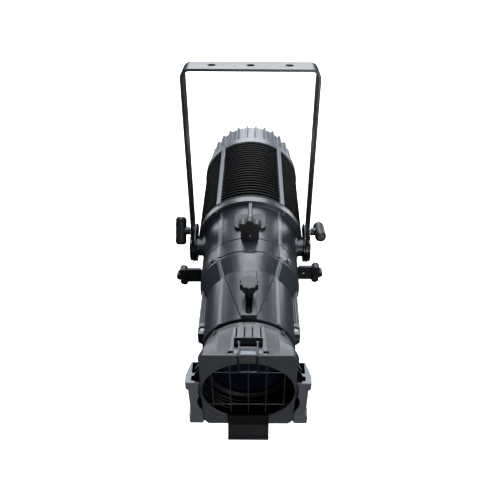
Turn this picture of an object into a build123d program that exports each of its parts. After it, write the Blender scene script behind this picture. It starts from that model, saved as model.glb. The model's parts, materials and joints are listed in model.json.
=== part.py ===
from build123d import *
from math import cos, degrees, radians, sin, sqrt
import os

# A hanging LED profile spotlight, in millimetres. The origin is the centre hanging hole, in the outer
# face of the yoke's top bar. +Z is up and the lamp throws its light towards -Y.

# ---------------------------------------------------------------- fits and clearances
# running is the radial room of a shaft in its hole, slide_gap the room between sliding faces and past
# how far a cutting tool runs on beyond what it cuts.
running = 0.05
slide_gap = 0.3
past = 5.0
seam = 1.5
seam_depth = 1.9

# ---------------------------------------------------------------- yoke and tilt lock
yoke_tilt = 6.0
yoke_length = 310.0
yoke_width = 198.0
strap_width = 40.0
strap_thickness = 4.0
bend_radius = 14.0
strap_end_radius = 25.0
hang_hole_radius = 5.5
hang_hole_spacing = 55.0
friction_washer_thickness = 1.2
washer_radius = 21.0
pivot_bolt_radius = 6.0
pivot_cap_radius = 23.5
pivot_cap_thickness = 4.0
lock_height = 33.4
lock_stud_radius = 4.0
lock_nut_size = 15.0
lock_nut_thickness = 3.5
brake_pad_radius = 8.0
lock_hub_radius = 6.8
lock_hub_length = 7.5
grip_radius = 9.4
grip_length = 48.0
grip_groove_depth = 1.0
grip_groove_count = 9
grip_sink = 1.5
grip_end = 7.0
left_grip_angle = 40.0
right_grip_angle = 102.0
tilt_plate_thickness = 2.0
tilt_nose_up = 30.0
tilt_nose_down = 60.0
tilt_margin = 16.0

# ---------------------------------------------------------------- stations ahead of the tilt pivot
plate_front = 295.5
hood_front = 289.0
hood_middle = 256.0
collar_back = 229.5
mouth = 225.5
side_flange_front = 205.0
cone_front = 135.0
barrel_back = 101.9
gate_front = 101.5
gate_back = 71.5
flange_front = -10.5
flange_back = -23.5
sink_back = -208.5
ring_back = -224.5
cap_back = -294.5

# ---------------------------------------------------------------- rear housing and gate
housing_radius = 79.0
housing_wall = 4.0
housing_flare_radius = 82.0
flare_start = 10.0
flange_radius = 91.0
rib_angle = 37.0
rib_width = 6.0
rib_height = 1.8
rib_root = 2.0
pivot_pad_radius = 22.5
pivot_pad_height = 81.0
boss_radius = 15.4
boss_depth = 14.0
pivot_thread = 8.0
pivot_socket_radius = 9.0
pivot_socket_depth = 2.2
flange_screw_radius = 86.5
flange_screw_angle = 40.0
flange_screw_bite = 5.0
screw_radius = 2.0
screw_head_radius = 3.5
screw_head_height = 2.6
screw_runout = 2.0
cover_width = 50.0
cover_length = 37.0
cover_height = 2.4
cover_corner = 7.0
cover_setback = 22.0
gusset_top = 88.5
gusset_overlap = 6.0
web_thickness = 3.0
aperture_radius = 30.0
web_hole_radius = 36.0
condenser_radius = 55.0
condenser_edge = 5.0
condenser_crown = 8.0
condenser_station = 44.0
condenser_seat = 7.0
seat_thickness = 4.0
cell_height = 6.0
cell_wall = 3.0
reflector_wall = 2.0
reflector_throat = 19.5
reflector_flange = 8.0
led_radius = 26.0
led_base = 2.0
emitter_size = 26.0
emitter_height = 2.0
led_boss_radius = 36.0
led_boss_height = 18.0

# ---------------------------------------------------------------- shutters
blade_thickness = 0.8
blade_pitch = 4.0
blade_overlap = 4.0
blade_half_width = 32.0
blade_reach = 34.0
blade_corner = 14.0
tail_width = 25.0
tail_slot_floor = 44.0
handle_rise = 0.6
handle_width = 28.0
handle_thickness = 5.0
handle_length = 22.5
handle_corner = 1.5
clover_thickness = 13.0
clover_lobe = 6.5
clover_spread = 10.5
clover_rise = 5.5
clover_waist = 9.0
rivet_radius = 1.6
rivet_rise = 8.5
rivet_proud = 0.8
first_blade_station = 75.0

# ---------------------------------------------------------------- heat sink and rear cap
fin_count = 22
fin_thickness = 2.0
fin_radius = 91.0
core_radius = 58.0
core_wall = 6.0
sink_base = 7.5
sink_base_radius = 89.8
bar_angle = 36.0
bar_width = 8.0
bar_height = 5.0
bar_proud = 1.8
ring_radius = 92.5
ring_bore = 36.0
ring_lip = 9.5
cap_fin_count = 28
cap_fin_thickness = 3.6
cap_fin_chamfer = 2.0
cap_core_radius = 78.5
cap_wall = 3.0
cap_front_radius = 90.0
cap_back_radius = 84.5
cap_screw_radius = 57.5
cap_boss_radius = 5.0
vent_width = 4.4
vent_inner = 63.5
vent_outer = 73.0
panel_radius = 50.0
panel_thickness = 2.0
display_width = 34.0
display_height = 17.0
display_rise = 20.0
display_lip = 2.0
window_thickness = 1.5
button_radius = 4.0
button_pitch = 14.0
button_proud = 2.0
button_travel = 1.0
button_lip = 1.0
socket_radius = 12.0
socket_spread = 20.0
socket_drop = 24.0
data_socket_radius = 9.5
data_spread = 36.5
data_drop = 1.0
socket_flange = 3.0
socket_lip = 2.0
socket_wall = 1.5
socket_depth = 18.0
socket_pocket = 12.0
contact_radius = 1.1
contact_length = 6.0
power_contact_circle = 4.0
data_contact_circle = 3.2
fan_size = 80.0
fan_corner = 5.0
fan_depth = 25.0
fan_bore_radius = 37.5
fan_hub_radius = 15.0
fan_strut_width = 4.0
fan_strut_depth = 3.0
fan_spindle_radius = 2.5
fan_rotor_length = 19.0
fan_blade_count = 7
fan_blade_chord = 18.0
fan_blade_sheet = 1.8
fan_blade_pitch = 37.0
fan_tip_gap = 1.5
board_width = 84.0
board_height = 56.0
board_thickness = 1.6
board_station = -258.0
standoff_radius = 3.5
standoff_inset = 6.0
# Each board part as its place on the board, width, height and depth.
board_parts = (((-26, 8), 22, 26, 10), ((4, 10), 18, 18, 8), ((26, -8), 16, 24, 11), ((-4, -16), 26, 10, 5))

# ---------------------------------------------------------------- barrel
barrel_radius = 66.0
barrel_wall = 4.7
barrel_flange_radius = 78.5
barrel_flange_length = 5.0
bore_lead = 6.0
spigot_radius = 70.0
spigot_length = 18.0
spigot_wall = 3.0
barrel_turn = 25.0
gate_screw_angle = 48.0
gate_screw_setback = 6.0
gate_groove_width = 6.0
gate_groove_depth = 1.6
side_flange_reach = 74.0
side_flange_root = 60.0
side_flange_top = 10.0
side_flange_drop = 14.0
side_flange_chamfer = 5.0
side_screw_reach = 68.0
side_screw_rear = 113.5
side_screw_front = 195.0
side_screw_hole = 4.5
side_screw_sink = 5.0
side_groove_pitch = 3.0
side_groove_width = 1.2
side_groove_depth = 1.0
side_groove_margin = 11.0
fairing_lead = 14.0
fairing_setback = 2.0
fairing_rear_half = 40.5
fairing_front_half = 10.5
fairing_rise = 1.6
pad_top = 73.0
pad_back = 137.5
focus_slot_half = 4.5
focus_rest = 188.5
focus_travel = 30.0

# ---------------------------------------------------------------- lens tube and accessory holder
tube_wall = 3.0
tube_back = 150.0
tube_front = 236.0
lens_seat = 3.0
lens_lip = 5.0
lens_edge = 6.0
lens_rim = 6.5
rear_lens_crown = 10.0
front_lens_crown = 6.0
front_lens_inset = 2.0
retainer_length = 3.0
retainer_width = 2.5
collar_wall = 3.0
collar_land = 8.0
crest_groove_width = 1.2
crest_groove_depth = 2.0
crest_groove_angles = (-14.0, -4.7, 4.7, 14.0)
# The hood's corners in one quarter, as (across, up), where it starts, halfway and at its front.
hood_back_corners = ((19.3, 63.1), (40.6, 52.0), (54.7, 36.9), (63.7, 17.0))
hood_middle_corners = ((21.9, 64.5), (40.5, 58.0), (58.5, 44.0), (67.0, 28.0))
hood_front_corners = ((23.2, 76.0), (41.5, 67.8), (61.0, 50.0), (69.5, 33.0))
hood_bore = 63.0
guard_seat_radius = 66.0
guard_seat_depth = 4.4
plate_thickness = 2.5
plate_half_width = 62.0
plate_top = 76.7
plate_bottom = 75.0
plate_hole_radius = 61.0
plate_shoulder = 6.0
plate_corner = 8.0
bracket_outer = 82.0
bracket_waist = 79.0
bracket_gap = 1.0
bracket_top = 20.0
bracket_step = 6.0
bracket_chamfer = 2.0
bracket_foot = 55.0
bracket_bottom = 74.0
bracket_depth = 34.0
bracket_lip = 4.0
bracket_nose = 6.0
bracket_nose_length = 20.5
bracket_groove = 1.4
bracket_groove_drop = 2.2
thumb_radius = 36.5
thumb_bite = 6.0
thumb_level = -26.0
foot_strip = 3.0
bridge_half_width = 18.0
bridge_top = 77.1
bridge_height = 12.0
bridge_slot_spread = 21.9
bridge_slot_width = 4.0
bridge_slot_length = 7.4
bridge_slot_setback = 4.0
pocket_inner = 62.0
pocket_outer = 74.0
front_pocket = 7.0
pocket_rib = 5.0
rear_pocket = 16.0
guard_pitch = 23.7
guard_level = 35.5
guard_wire_radius = 0.7
guard_overlap = 4.0
guard_ring_thickness = 1.2
front_web_radius = 50.0
front_web_station = 262.0
holder_screw_angle = 45.0
knob_radius = 13.0
knob_height = 11.0
knob_base = 87.0
knob_cap = 3.0
knob_flutes = 10
knob_flute_radius = 3.0
knob_flute_circle = 14.2
knob_stem_radius = 6.0
focus_stud_radius = 3.0
tab_width = 57.0
tab_thickness = 3.0
tab_top = 52.0
tab_bend = 2.0
tab_reach = 11.5
tab_drop = 91.4
tab_lip_radius = 3.6
clip_width = 23.4
clip_wire_radius = 1.0
clip_bar_radius = 0.85
clip_bend = 4.0
clip_block_width = 36.0
clip_block_length = 10.5
clip_block_height = 5.5
clip_block_station = 277.5
clip_pin_rise = 3.65
clip_leg_gap = 0.6
clip_leg_room = 1.75
clip_bar_reach = 8.7
clip_drop = 34.0
clip_standoff = 1.0
clip_spring_length = 11.0
clip_spring_inset = 2.5
clip_spring_thickness = 0.8

# ---------------------------------------------------------------- values worked out from the above
tilt = radians(yoke_tilt)
pivot = Vector(0, -yoke_length * sin(tilt), -yoke_length * cos(tilt))
forward = Vector(0, -1, 0)
yoke_up = Vector(0, sin(tilt), cos(tilt))
yoke_forward = Vector(0, -cos(tilt), sin(tilt))
lamp_axis = Axis(tuple(pivot), tuple(forward))
lamp_side = Plane(origin=pivot, x_dir=(0, -1, 0), z_dir=(-1, 0, 0))
yoke_face = Plane(origin=pivot, x_dir=(1, 0, 0), z_dir=yoke_forward)
yoke_side = Plane(origin=pivot, x_dir=yoke_forward, z_dir=(-1, 0, 0))
strap_outer = yoke_width / 2
strap_inner = strap_outer - strap_thickness
tilt_plate_outer = strap_inner - friction_washer_thickness - slide_gap
boss_end = tilt_plate_outer - tilt_plate_thickness
lock_centre = pivot + yoke_up * lock_height
hub_start = strap_outer + lock_nut_thickness + slide_gap
grip_centre = hub_start + lock_hub_length + grip_radius - grip_sink
stud_start = strap_inner + slide_gap
cap_start = strap_outer + slide_gap
bolt_start = housing_radius - pivot_thread
led_face = flange_back + led_boss_height
cover_centre = gate_back - cover_setback - cover_length / 2
cover_back = cover_centre - cover_length / 2
cover_sag = housing_radius - sqrt(housing_radius**2 - (cover_width / 2) ** 2)
fin_pitch = (flange_back - sink_base - sink_back) / fin_count
fan_front = sink_back - web_thickness
fan_back = fan_front - fan_depth
board_seat = board_station - board_thickness
panel_back = cap_back - panel_thickness
cavity_radius = housing_radius - housing_wall - 1.0
slot_width = blade_thickness + 2 * (slide_gap + running)
spacer_thickness = blade_pitch - blade_thickness - 2 * slide_gap
spacer_front = first_blade_station + blade_thickness / 2 + slide_gap + spacer_thickness
spacer_back = spacer_front - 4 * blade_pitch - spacer_thickness
handle_start = housing_radius + handle_rise
bore_radius = barrel_radius - barrel_wall
cone_back = barrel_back + barrel_flange_length
gate_screw_station = gate_front - gate_screw_setback
gate_groove_half = barrel_turn + degrees((screw_radius + slide_gap) / spigot_radius)
tube_radius = bore_radius - slide_gap
tube_bore = tube_radius - tube_wall
collar_radius = tube_radius + collar_wall
holder_screw_station = collar_back + collar_land / 2
plate_back = plate_front - plate_thickness
hood_back = collar_back + collar_land
front_web_back = front_web_station - web_thickness
front_lens_radius = tube_bore - front_lens_inset
front_cell_radius = front_lens_radius + slide_gap
front_lens_back = front_web_back - lens_edge
rear_lens_back = tube_back + lens_seat
pin_level = bridge_top + clip_pin_rise
clip_back = clip_block_station - clip_block_length / 2
bracket_inner = plate_half_width + bracket_gap
shutters = {"top": (0, 0), "left": (1, 270), "bottom": (2, 180), "right": (3, 90)}
quarter_turns = (0, 90, 180, 270)


def corners(angle):
    """Four angles, each the same amount from the top or the bottom."""
    return (-angle, angle, 180 - angle, 180 + angle)


rib_angles = corners(rib_angle)
bar_angles = corners(bar_angle)
flange_screw_angles = corners(flange_screw_angle)
holder_screw_angles = corners(holder_screw_angle)
gate_screw_angles = (-gate_screw_angle, gate_screw_angle)


def outward(angle):
    """Unit vector across the lamp axis, at an angle from the top towards +X."""
    return Vector(sin(radians(angle)), 0, cos(radians(angle)))


def facing(station, angle=0.0):
    """Plane across the lamp axis, seen from the front; local y points out at the angle from the top."""
    turn = radians(angle)
    return Plane(origin=pivot + forward * station, x_dir=(cos(turn), 0, -sin(turn)), z_dir=forward)


def radial(angle):
    """Plane through the lamp axis: local x runs forward, local y out at the angle from the top."""
    turn = radians(angle)
    return Plane(origin=pivot, x_dir=forward, z_dir=(-cos(turn), 0, sin(turn)))


def on_skin(station, angle, radius):
    """Plane touching the circle of a radius at an angle, with its normal pointing out."""
    out = outward(angle)
    return Plane(pivot + forward * station + out * radius, x_dir=(out.Z, 0, -out.X), z_dir=out)


def spot(station, angle, radius, normal=forward):
    """Plane across the lamp axis, centred off it at an angle and a radius."""
    return Plane(pivot + forward * station + outward(angle) * radius, x_dir=(1, 0, 0), z_dir=normal)


def level(height, station=0.0, across=0.0):
    """Flat plane at a height above the lamp axis: local x runs forward, local y towards +X."""
    return Plane(pivot + forward * station + Vector(across, 0, height), x_dir=forward, z_dir=(0, 0, 1))


def blade_station(order):
    return first_blade_station - order * blade_pitch


def save(piece, name):
    piece.part.label = name
    export_step(piece.part, f"parts/{name}.step")


def band(start, end, inner, outer):
    """Rectangle between two stations and two radii, for a sketch that holds the lamp axis."""
    with Locations(((start + end) / 2, (inner + outer) / 2)):
        Rectangle(abs(end - start), outer - inner)


def turned(*points):
    """Closed outline of (station, radius) points, turned about the lamp axis."""
    with BuildSketch(lamp_side) as profile:
        with BuildLine():
            Polyline(*points, close=True)
        make_face()
    revolve(profile.sketch, axis=lamp_axis)


def turned_band(start, end, inner, outer, mode=Mode.ADD):
    with BuildSketch(lamp_side) as profile:
        band(start, end, inner, outer)
    revolve(profile.sketch, axis=lamp_axis, mode=mode)


def ribs(start, end, base, top, angles):
    """Straight ribs along the lamp between two stations, at each angle."""
    for angle in angles:
        with BuildSketch(radial(angle)) as profile:
            band(start, end, base, top)
        extrude(profile.sketch, amount=rib_width / 2, both=True)


def shutter_slots():
    """Slots that the shutter tails leave the body through."""
    for order, angle in shutters.values():
        with BuildSketch(facing(blade_station(order) - slot_width / 2, angle)) as profile:
            with Locations((0, housing_radius)):
                Rectangle(tail_width + 2 * slide_gap, 2 * (housing_radius - tail_slot_floor))
        extrude(profile.sketch, amount=slot_width, mode=Mode.SUBTRACT)


def screw(plane, length):
    """Pan-head screw: the head stands on the plane and the shank goes down from it."""
    with BuildSketch(plane) as head:
        Circle(screw_head_radius)
    extrude(head.sketch, amount=screw_head_height)
    with BuildSketch(plane) as shank:
        Circle(screw_radius)
    extrude(shank.sketch, amount=-length)


def screw_hole(plane, length):
    """Hole for a screw, from just above the plane down to the length."""
    with BuildSketch(plane.offset(past)) as hole:
        Circle(screw_radius + running)
    extrude(hole.sketch, amount=-length - past, mode=Mode.SUBTRACT)


def lens(back, radius, crown, edge):
    """Plano-convex lens with a flat rim, its flat face at the back station."""
    face = back + edge
    dome = radius - lens_rim
    with BuildSketch(lamp_side) as profile:
        with BuildLine():
            Polyline((face + crown, 0), (back, 0), (back, radius), (face, radius), (face, dome))
            RadiusArc((face, dome), (face + crown, 0), (dome**2 + crown**2) / (2 * crown))
        make_face()
    revolve(profile.sketch, axis=lamp_axis)


def panel_openings(mode):
    """Openings of the rear panel: the display, the buttons and the sockets."""
    with Locations((0, display_rise)):
        Rectangle(display_width - 2 * display_lip, display_height - 2 * display_lip, mode=mode)
    for index in range(4):
        with Locations(((index - 1.5) * button_pitch, 0)):
            Circle(button_radius - button_lip + slide_gap, mode=mode)
    for side in (1, -1):
        with Locations((side * socket_spread, -socket_drop)):
            Circle(socket_radius - socket_lip + slide_gap, mode=mode)
        with Locations((side * data_spread, -data_drop)):
            Circle(data_socket_radius - socket_lip + slide_gap, mode=mode)


def round_socket(across, height, radius, contact_count, contact_circle):
    """Flanged round socket with a blind mouth in its back face and contact pins inside."""
    flange_face = panel_back - socket_flange
    pocket_end = flange_face + socket_pocket
    steps = (
        (flange_face, radius, socket_flange, Mode.ADD),
        (panel_back, radius - socket_lip, socket_depth, Mode.ADD),
        (flange_face, radius - socket_lip - socket_wall, socket_pocket, Mode.SUBTRACT),
    )
    for station, step_radius, length, mode in steps:
        with BuildSketch(facing(station)) as step:
            with Locations((across, height)):
                Circle(step_radius)
        extrude(step.sketch, amount=length, mode=mode)
    with BuildSketch(facing(pocket_end - contact_length)) as contacts:
        with Locations((across, height)):
            with PolarLocations(contact_circle, contact_count, start_angle=90):
                Circle(contact_radius)
    extrude(contacts.sketch, amount=contact_length + socket_wall)


def hood_section(station, quarter):
    """Sketch of the hood's outline at a station, from its corners in the upper +X quarter."""
    right = list(quarter) + [(x, -y) for x, y in reversed(quarter)]
    left = [(-x, y) for x, y in reversed(right)]
    with BuildSketch(facing(station)) as section:
        with BuildLine():
            Polyline(*right, *left, close=True)
        make_face()
    return section.sketch


def focus_slot():
    """Slot along the barrel's top that the focus stud runs in."""
    with BuildSketch(level(bore_radius - past)) as profile:
        with Locations((focus_rest + focus_travel / 2, 0)):
            SlotCenterToCenter(focus_travel, 2 * focus_slot_half)
    extrude(profile.sketch, amount=pad_top - bore_radius + 2 * past, mode=Mode.SUBTRACT)


os.makedirs("parts", exist_ok=True)

# ================================================================ yoke
with BuildPart() as yoke:
    with BuildSketch(yoke_face):
        inner_top = yoke_length - strap_thickness
        with BuildLine():
            Polyline(
                (-strap_outer, 0),
                (-strap_outer, yoke_length),
                (strap_outer, yoke_length),
                (strap_outer, 0),
                (strap_inner, 0),
                (strap_inner, inner_top),
                (-strap_inner, inner_top),
                (-strap_inner, 0),
                close=True,
            )
        make_face()
        fillet(vertices().group_by(Axis.Y)[-1], bend_radius)
        fillet(vertices().filter_by(lambda v: abs(v.Y - inner_top) < running), bend_radius - strap_thickness)
    extrude(amount=strap_width / 2, both=True)
    for side in (1, -1):
        with BuildSketch(yoke_side.offset(side * strap_inner)):
            Circle(strap_end_radius)
        extrude(amount=side * strap_thickness)
        with BuildSketch(yoke_side.offset(side * strap_inner)):
            Circle(pivot_bolt_radius + running)
            with Locations((0, lock_height)):
                Circle(lock_stud_radius + running)
        extrude(amount=side * strap_thickness, mode=Mode.SUBTRACT)
    with BuildSketch(Plane(origin=(0, 0, 0), x_dir=(1, 0, 0), z_dir=yoke_up)):
        with GridLocations(hang_hole_spacing, 0, 3, 1):
            Circle(hang_hole_radius)
    extrude(amount=-strap_thickness, mode=Mode.SUBTRACT)
save(yoke, "yoke")

with BuildPart() as friction_washers:
    with BuildSketch(yoke_side.offset(strap_inner - friction_washer_thickness)):
        Circle(washer_radius)
        Circle(pivot_bolt_radius + running, mode=Mode.SUBTRACT)
    extrude(amount=friction_washer_thickness)
    mirror(about=Plane.YZ)
save(friction_washers, "friction_washers")

with BuildPart() as lock_nuts:
    with BuildSketch(yoke_side.offset(strap_outer)):
        with Locations((0, lock_height)):
            RegularPolygon(lock_nut_size / 2, 6, major_radius=False)
            Circle(lock_stud_radius + running, mode=Mode.SUBTRACT)
    extrude(amount=lock_nut_thickness)
    mirror(about=Plane.YZ)
save(lock_nuts, "lock_nuts")

with BuildPart() as brake_pads:
    with BuildSketch(yoke_side.offset(tilt_plate_outer + slide_gap)):
        with Locations((0, lock_height)):
            Circle(brake_pad_radius)
    extrude(amount=strap_inner - tilt_plate_outer - slide_gap)
    mirror(about=Plane.YZ)
save(brake_pads, "brake_pads")

# ================================================================ tilt lock handles
for side, name, grip_angle in ((1, "left", left_grip_angle), (-1, "right", right_grip_angle)):
    lean = radians(grip_angle)
    sideways = Vector(-side, 0, 0)
    grip_axis = Vector(0, sin(lean), cos(lean))
    grip_foot = lock_centre + sideways * grip_centre - grip_axis * (grip_length / 2)
    hub_plane = Plane(lock_centre + sideways * hub_start, x_dir=yoke_forward, z_dir=sideways)
    stud_plane = Plane(lock_centre + sideways * stud_start, x_dir=yoke_forward, z_dir=sideways)
    grip_plane = Plane(grip_foot, x_dir=(1, 0, 0), z_dir=grip_axis)
    groove_pitch = (grip_length - 2 * grip_end) / grip_groove_count
    with BuildPart() as lock_handle:
        with BuildSketch(hub_plane):
            Circle(lock_hub_radius)
        extrude(amount=grip_centre - hub_start)
        with BuildSketch(grip_plane):
            Circle(grip_radius)
        extrude(amount=grip_length)
        rims = edges().filter_by(GeomType.CIRCLE).filter_by(lambda e: abs(e.radius - grip_radius) < running)
        fillet(rims, grip_end - 1)
        for index in range(grip_groove_count):
            with BuildSketch(grip_plane.offset(grip_end + (index + 0.3) * groove_pitch)):
                with Locations((-side * (2 * grip_radius - grip_groove_depth), 0)):
                    Rectangle(2 * grip_radius, 3 * grip_radius)
            extrude(amount=groove_pitch * 0.4, mode=Mode.SUBTRACT)
        with BuildSketch(hub_plane):
            Circle(lock_stud_radius + running)
        extrude(amount=lock_hub_length, mode=Mode.SUBTRACT)
    save(lock_handle, f"lock_handle_{name}")

    with BuildPart() as lock_stud:
        with BuildSketch(stud_plane):
            Circle(lock_stud_radius)
        extrude(amount=hub_start + lock_hub_length - stud_start)
    save(lock_stud, f"lock_stud_{name}")

# ================================================================ rear housing
with BuildPart() as rear_housing:
    turned(
        (gate_back, housing_radius - housing_wall),
        (gate_back, housing_radius),
        (flare_start, housing_radius),
        (flange_front, housing_flare_radius),
        (flange_front, flange_radius),
        (flange_back, flange_radius),
        (flange_back, housing_radius - housing_wall),
    )
    turned_band(spacer_back - web_thickness, spacer_back, web_hole_radius, housing_radius - rib_root)
    seat_back = condenser_station - seat_thickness
    turned_band(seat_back, condenser_station, condenser_radius - condenser_seat, housing_radius - rib_root)
    cell_bore = condenser_radius + running
    turned_band(condenser_station, condenser_station + cell_height, cell_bore, cell_bore + cell_wall)
    ribs(gate_back, flange_front, housing_radius - rib_root, housing_radius + rib_height, rib_angles)
    with BuildSketch(lamp_side):
        gusset_foot = housing_radius - rib_root
        with BuildLine():
            Polyline(
                (flange_front - 1, gusset_foot),
                (flange_front - 1, gusset_top),
                (cover_back - gusset_overlap, housing_radius + cover_height),
                (cover_back + gusset_overlap, housing_radius + cover_height),
                (cover_back + gusset_overlap, gusset_foot),
                close=True,
            )
        make_face()
    extrude(amount=rib_width / 2, both=True)
    for side in (1, -1):
        boss_start = housing_radius - boss_depth
        for radius, height in ((pivot_pad_radius, pivot_pad_height), (boss_radius, boss_end)):
            with BuildSketch(lamp_side.offset(side * boss_start)):
                Circle(radius)
            extrude(amount=side * (height - boss_start))
    turned_band(seat_back, flange_back - past, 0, housing_radius - housing_wall, mode=Mode.SUBTRACT)
    for side in (1, -1):
        with BuildSketch(lamp_side.offset(side * boss_start)):
            Circle(boss_radius)
        extrude(amount=side * boss_depth)
        with BuildSketch(lamp_side.offset(side * (bolt_start - screw_runout))):
            Circle(pivot_bolt_radius + running)
        extrude(amount=side * (boss_end - bolt_start + screw_runout), mode=Mode.SUBTRACT)
    seam_floor = housing_radius - seam_depth
    turned_band(gate_back - seam / 2, gate_back, seam_floor, housing_radius + past, mode=Mode.SUBTRACT)
    shutter_slots()
    for angle in flange_screw_angles:
        screw_hole(spot(flange_front, angle, flange_screw_radius), flange_front - flange_back)
save(rear_housing, "rear_housing")

with BuildPart() as slot_cover:
    with BuildSketch(on_skin(cover_centre, 0, housing_radius - cover_sag)):
        Rectangle(cover_width, cover_length)
        fillet(vertices().group_by(Axis.Y)[0], cover_corner)
    extrude(amount=cover_sag + cover_height)
    turned_band(flange_front, gate_back, 0, housing_radius, mode=Mode.SUBTRACT)
    with BuildSketch(lamp_side):
        band(flange_front, cover_back + gusset_overlap, 0, flange_radius)
    extrude(amount=rib_width / 2, both=True, mode=Mode.SUBTRACT)
save(slot_cover, "slot_cover")

with BuildPart() as flange_screws:
    for angle in flange_screw_angles:
        screw(spot(flange_front, angle, flange_screw_radius), flange_front - flange_back + flange_screw_bite)
save(flange_screws, "flange_screws")

with BuildPart() as tilt_plates:
    sweep_start = 90 - tilt_nose_up - tilt_margin
    sweep_end = 90 + tilt_nose_down + tilt_margin
    with BuildSketch(lamp_side.offset(boss_end)):
        with BuildLine():
            rim = CenterArc((0, 0), lock_height + brake_pad_radius, sweep_start, sweep_end - sweep_start)
            Line((0, 0), rim @ 0)
            Line(rim @ 1, (0, 0))
        make_face()
        Circle(strap_end_radius)
        Circle(pivot_bolt_radius + running, mode=Mode.SUBTRACT)
    extrude(amount=tilt_plate_thickness)
    mirror(about=Plane.YZ)
save(tilt_plates, "tilt_plates")

with BuildPart() as pivot_bolts:
    with BuildSketch(lamp_side.offset(bolt_start)):
        Circle(pivot_bolt_radius)
    extrude(amount=cap_start - bolt_start)
    with BuildSketch(lamp_side.offset(cap_start)):
        Circle(pivot_cap_radius)
    extrude(amount=pivot_cap_thickness)
    with BuildSketch(lamp_side.offset(cap_start + pivot_cap_thickness)):
        RegularPolygon(pivot_socket_radius, 6)
    extrude(amount=-pivot_socket_depth, mode=Mode.SUBTRACT)
    mirror(about=Plane.YZ)
save(pivot_bolts, "pivot_bolts")

# ================================================================ light source
with BuildPart() as heat_sink:
    turned(
        (flange_back, 0),
        (flange_back, sink_base_radius),
        (flange_back - sink_base, sink_base_radius),
        (flange_back - sink_base, core_radius),
        (sink_back, core_radius),
        (sink_back, core_radius - core_wall),
        (flange_back - sink_base, core_radius - core_wall),
        (flange_back - sink_base, 0),
    )
    turned_band(flange_back - 1, led_face, 0, led_boss_radius)
    for index in range(fin_count):
        fin_front = flange_back - sink_base - (index + 0.6) * fin_pitch
        turned_band(fin_front - fin_thickness, fin_front, core_radius - 1, fin_radius)
    bar_floor = fin_radius + bar_proud - bar_height
    for angle in bar_angles:
        with BuildSketch(radial(angle)):
            band(sink_back - past, flange_back, bar_floor, fin_radius + past)
        extrude(amount=bar_width / 2 + running, both=True, mode=Mode.SUBTRACT)
    for angle in flange_screw_angles:
        screw_hole(spot(flange_back, angle, flange_screw_radius), flange_screw_bite + screw_runout)
save(heat_sink, "heat_sink")

with BuildPart() as sink_bars:
    for angle in bar_angles:
        with BuildSketch(radial(angle)):
            band(sink_back, flange_back, bar_floor, bar_floor + bar_height)
        extrude(amount=bar_width / 2, both=True)
save(sink_bars, "sink_bars")

with BuildPart() as led_module:
    with BuildSketch(facing(led_face)):
        Circle(led_radius)
    extrude(amount=led_base)
    with BuildSketch(facing(led_face + led_base)):
        Rectangle(emitter_size, emitter_size)
    extrude(amount=emitter_height)
save(led_module, "led_module")

with BuildPart() as reflector:
    reflector_back = led_face + led_base + emitter_height + slide_gap
    flange_start = seat_back - reflector_wall
    mouth_radius = condenser_radius - condenser_seat
    turned(
        (reflector_back, reflector_throat),
        (reflector_back, reflector_throat + reflector_wall),
        (flange_start, mouth_radius + reflector_wall),
        (flange_start, condenser_radius + reflector_flange),
        (seat_back, condenser_radius + reflector_flange),
        (seat_back, mouth_radius),
    )
save(reflector, "reflector")

with BuildPart() as condenser_lens:
    lens(condenser_station, condenser_radius, condenser_crown, condenser_edge)
save(condenser_lens, "condenser_lens")

# ================================================================ rear ring, fan and rear cap
with BuildPart() as rear_ring:
    ring_floor = ring_radius - ring_lip
    turned(
        (sink_back, ring_bore),
        (sink_back, ring_radius),
        (ring_back, ring_radius),
        (ring_back, ring_floor),
        (fan_front, ring_floor),
        (fan_front, ring_bore),
    )
save(rear_ring, "rear_ring")

with BuildPart() as rear_cap:
    inside = cap_back + cap_wall / 2
    turned(
        (fan_front, cap_core_radius - cap_wall),
        (fan_front, cap_core_radius),
        (cap_back, cap_core_radius),
        (cap_back, 0),
        (cap_back + cap_wall, 0),
        (cap_back + cap_wall, cap_core_radius - cap_wall),
    )
    for index in range(cap_fin_count):
        with BuildSketch(radial((index + 0.5) * 360 / cap_fin_count)):
            with BuildLine():
                Polyline(
                    (ring_back, cap_core_radius - 1),
                    (ring_back, cap_front_radius),
                    (cap_back + cap_fin_chamfer, cap_back_radius),
                    (cap_back, cap_back_radius - cap_fin_chamfer),
                    (cap_back, cap_core_radius - 1),
                    close=True,
                )
            make_face()
        extrude(amount=cap_fin_thickness / 2, both=True)
    with BuildSketch(facing(inside)):
        with GridLocations(board_width - 2 * standoff_inset, board_height - 2 * standoff_inset, 2, 2):
            Circle(standoff_radius)
    extrude(amount=board_seat - inside)
    for angle in quarter_turns:
        with BuildSketch(spot(inside, angle, cap_screw_radius)):
            Circle(cap_boss_radius)
        extrude(amount=fan_front - inside)
        screw_hole(spot(cap_back, angle, cap_screw_radius, -forward), fan_front - cap_back)
    with BuildSketch(facing(cap_back)):
        panel_openings(Mode.ADD)
    extrude(amount=cap_wall, mode=Mode.SUBTRACT)
    for index in range(cap_fin_count):
        with BuildSketch(radial(index * 360 / cap_fin_count)):
            band(cap_back - past, cap_back + past, vent_inner, vent_outer)
        extrude(amount=vent_width / 2, both=True, mode=Mode.SUBTRACT)
save(rear_cap, "rear_cap")

with BuildPart() as cap_screws:
    for angle in quarter_turns:
        screw(spot(cap_back, angle, cap_screw_radius, -forward), fan_front - cap_back - slide_gap)
save(cap_screws, "cap_screws")

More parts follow.
